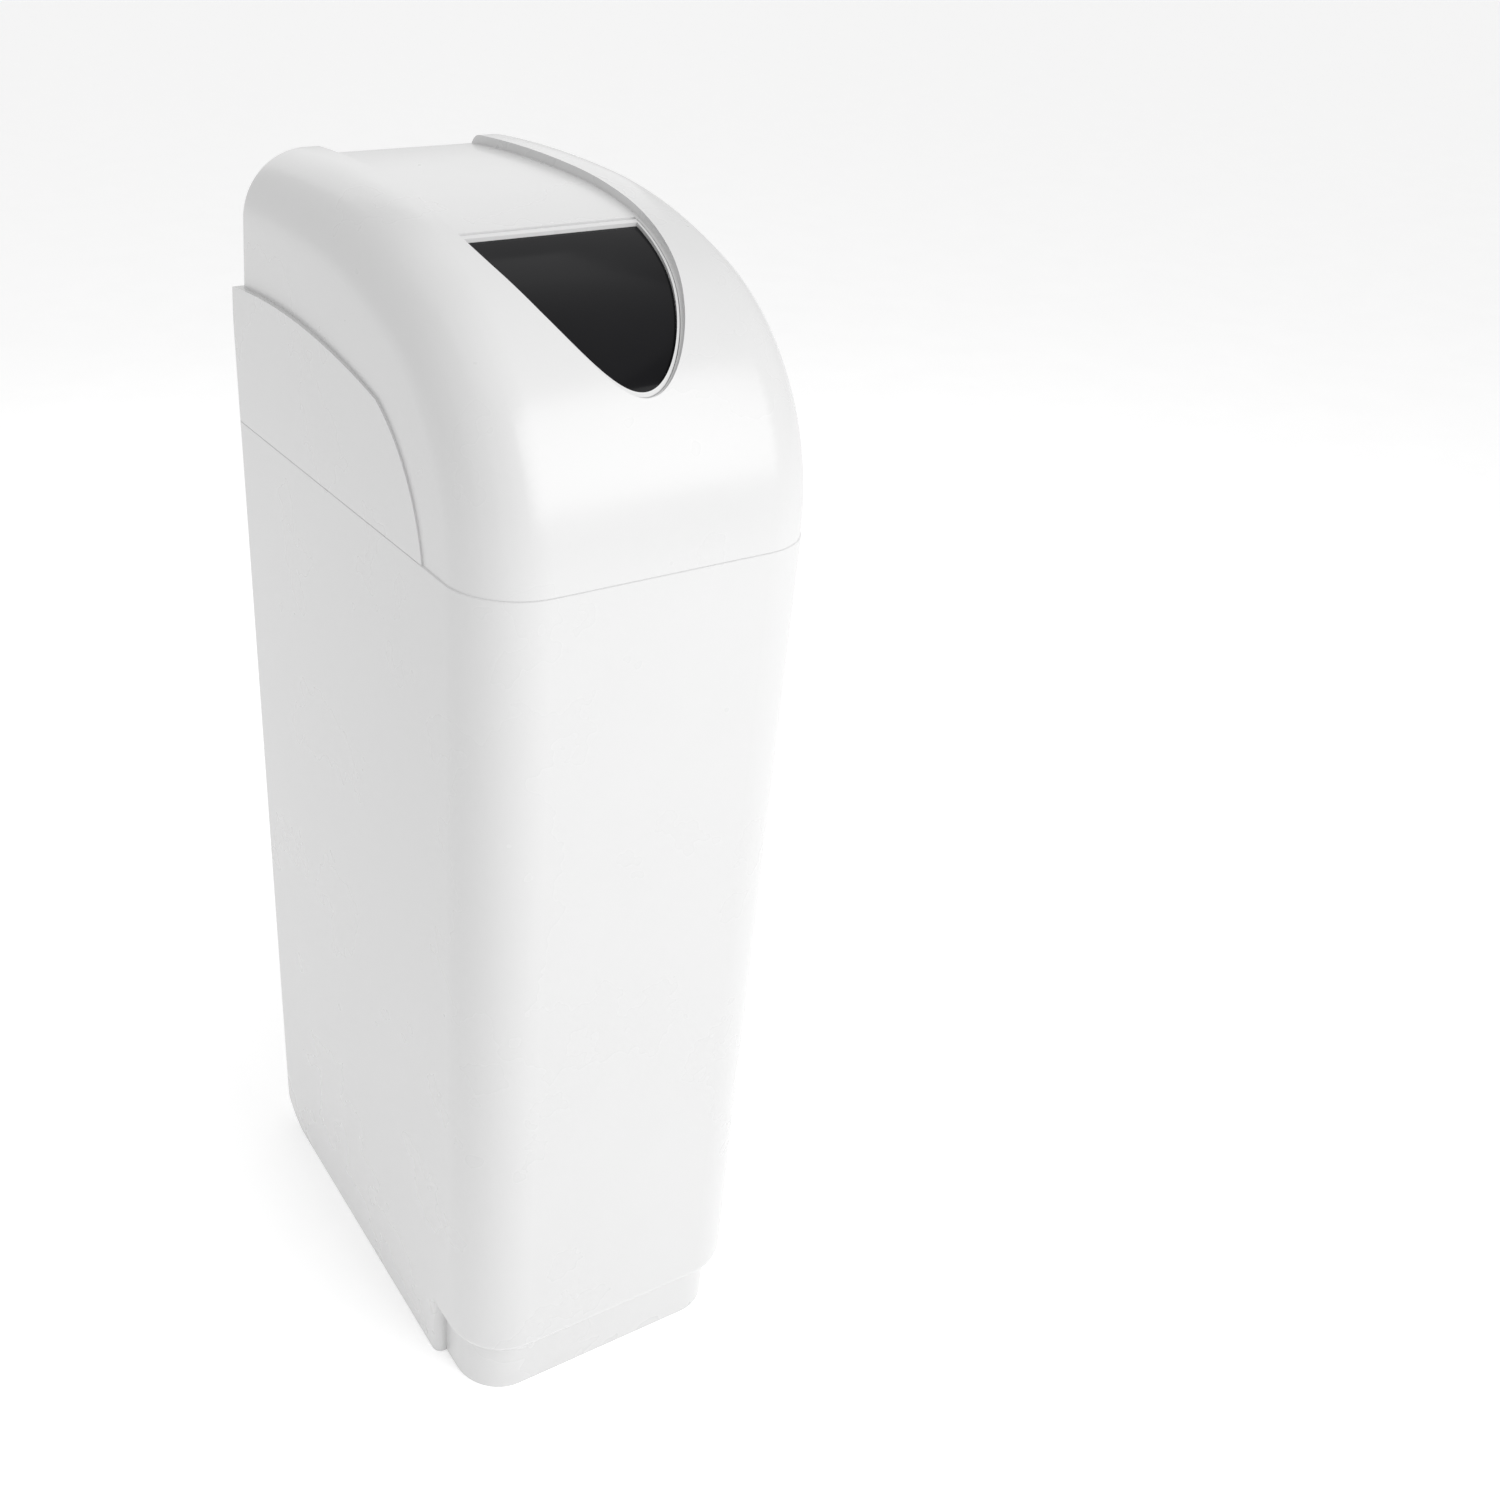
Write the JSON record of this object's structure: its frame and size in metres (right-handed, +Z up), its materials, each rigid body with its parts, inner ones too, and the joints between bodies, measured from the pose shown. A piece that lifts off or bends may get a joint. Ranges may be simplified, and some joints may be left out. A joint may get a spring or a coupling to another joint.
{
  "type": "cabinet water softener",
  "caption": "Cabinet water softener with lift-off hood, salt hatch, resin tank, geared control valve, bypass valve and brine well with safety float.",
  "frame": {"origin": "centre of the cabinet's footprint on the floor", "axes": "+Z up, the front with the salt hatch faces -Y, +X to the right as seen from the front"},
  "size_m": [0.32, 0.5565, 1.142],
  "materials": {
    "white_plastic": "gloss",
    "smoked_black": "gloss",
    "black_plastic": "satin",
    "black_gloss": "gloss",
    "teal_plate": "gloss",
    "teal_trim": "satin",
    "steel": "satin",
    "silver_label": "satin",
    "red_plastic": "gloss",
    "green_plastic": "gloss",
    "clear_plastic": "gloss",
    "tank_grey": "satin",
    "resin_amber": "matte",
    "rubber_black": "matte",
    "pipe_white": "satin",
    "float_white": "satin"
  },
  "bodies": {
    "cabinet": {"cabinet_body": "white_plastic", "resin_tank": "tank_grey", "tank_boot": "black_plastic", "riser_tube": "pipe_white", "lower_basket": "pipe_white", "upper_basket": "pipe_white", "resin_bed": "resin_amber", "valve_body": "black_plastic", "tank_o_ring": "rubber_black", "seal_stack": "rubber_black", "end_plug": "black_plastic", "mixing_nut": "black_plastic", "drain_fitting": "black_plastic", "brine_nut": "black_plastic", "front_bezel": "black_plastic", "front_plate": "teal_plate", "trim_ring": "teal_trim", "back_cover": "black_plastic", "cover_badge": "white_plastic", "drive_bracket": "black_plastic", "bracket_screws": "steel", "drive_motor": "steel", "pinion_carrier": "black_plastic", "meter_housing": "black_plastic", "green_lens": "green_plastic", "red_lens": "red_plastic", "bypass_body": "black_plastic", "bypass_clips": "steel", "clip_screws": "steel", "side_port_plugs": "black_plastic", "spigot_o_rings": "rubber_black", "brine_well": "pipe_white", "brine_line": "pipe_white", "float_valve": "pipe_white", "air_check": "pipe_white", "overflow_elbow": "black_plastic", "overflow_nut": "black_plastic"},
    "hood": {"hood": "white_plastic"},
    "hatch": {"hatch_frame": "black_gloss", "hatch_pane": "smoked_black", "hatch_hinge_pins": "steel"},
    "piston": {"valve_piston": "pipe_white"},
    "regen_drive": {"drive_shaft": "black_plastic", "regen_knob": "black_gloss", "knob_plate": "silver_label"},
    "day_gear": {"day_gear": "black_plastic"},
    "red_pinion": {"red_pinion": "red_plastic"},
    "program_wheel": {"program_wheel": "black_plastic"},
    "capacity_dial": {"capacity_dial": "clear_plastic", "dial_hub": "black_gloss"},
    "meter_pinion": {"meter_pinion": "black_plastic"},
    "mixing_screw": {"mixing_screw": "black_plastic"},
    "inlet_rotor": {"inlet_rotor": "black_plastic"},
    "outlet_rotor": {"outlet_rotor": "black_plastic"},
    "brine_well_cap": {"brine_well_cap": "pipe_white"},
    "float": {"float_rod": "float_white", "brine_float": "float_white"}
  },
  "joints": [
    {"name": "hood_lift", "type": "slide", "parent": "cabinet", "child": "hood", "axis": [0, 0, 1], "range_m": [0, 0.3]},
    {"name": "hatch_swing", "type": "hinge", "parent": "hood", "child": "hatch", "pos_m": [0, -0.066, 1.10895], "axis": [-1, 0, 0], "range_deg": [0, 95]},
    {"name": "piston_stroke", "type": "slide", "parent": "cabinet", "child": "piston", "axis": [0, 0, -1], "range_m": [0, 0.022]},
    {"name": "regen_knob_turn", "type": "hinge", "parent": "cabinet", "child": "regen_drive", "pos_m": [0, 0, 1.016], "axis": [0, 1, 0], "continuous": true},
    {"name": "day_gear_turn", "type": "hinge", "parent": "cabinet", "child": "day_gear", "pos_m": [0, 0, 1.016], "axis": [0, 1, 0], "continuous": true},
    {"name": "red_pinion_turn", "type": "hinge", "parent": "cabinet", "child": "red_pinion", "pos_m": [-0.0435, 0, 1.016], "axis": [0, 1, 0], "continuous": true},
    {"name": "program_wheel_turn", "type": "hinge", "parent": "cabinet", "child": "program_wheel", "pos_m": [0.0615, 0, 1.02], "axis": [0, 1, 0], "continuous": true},
    {"name": "capacity_dial_turn", "type": "hinge", "parent": "program_wheel", "child": "capacity_dial", "pos_m": [0.0615, 0, 1.02], "axis": [0, 1, 0], "continuous": true},
    {"name": "meter_pinion_turn", "type": "hinge", "parent": "cabinet", "child": "meter_pinion", "pos_m": [0.08405, 0, 0.99539], "axis": [0, 1, 0], "continuous": true},
    {"name": "mixing_screw_turn", "type": "hinge", "parent": "cabinet", "child": "mixing_screw", "pos_m": [0, 0.082, 0.947], "axis": [-1, 0, 0], "range_deg": [0, 270]},
    {"name": "inlet_rotor_turn", "type": "hinge", "parent": "cabinet", "child": "inlet_rotor", "pos_m": [0.035, 0.178, 0], "axis": [0, 0, 1], "range_deg": [0, 90]},
    {"name": "outlet_rotor_turn", "type": "hinge", "parent": "cabinet", "child": "outlet_rotor", "pos_m": [-0.035, 0.178, 0], "axis": [0, 0, -1], "range_deg": [0, 90]},
    {"name": "well_cap_lift", "type": "slide", "parent": "cabinet", "child": "brine_well_cap", "axis": [0, 0, 1], "range_m": [0, 0.06]},
    {"name": "float_rise", "type": "slide", "parent": "cabinet", "child": "float", "axis": [0, 0, 1], "range_m": [0, 0.012]}
  ],
  "couplings": [
    {"joint": "red_pinion_turn", "follows": "day_gear_turn", "ratio": -6.25},
    {"joint": "meter_pinion_turn", "follows": "program_wheel_turn", "ratio": -6.4167}
  ]
}
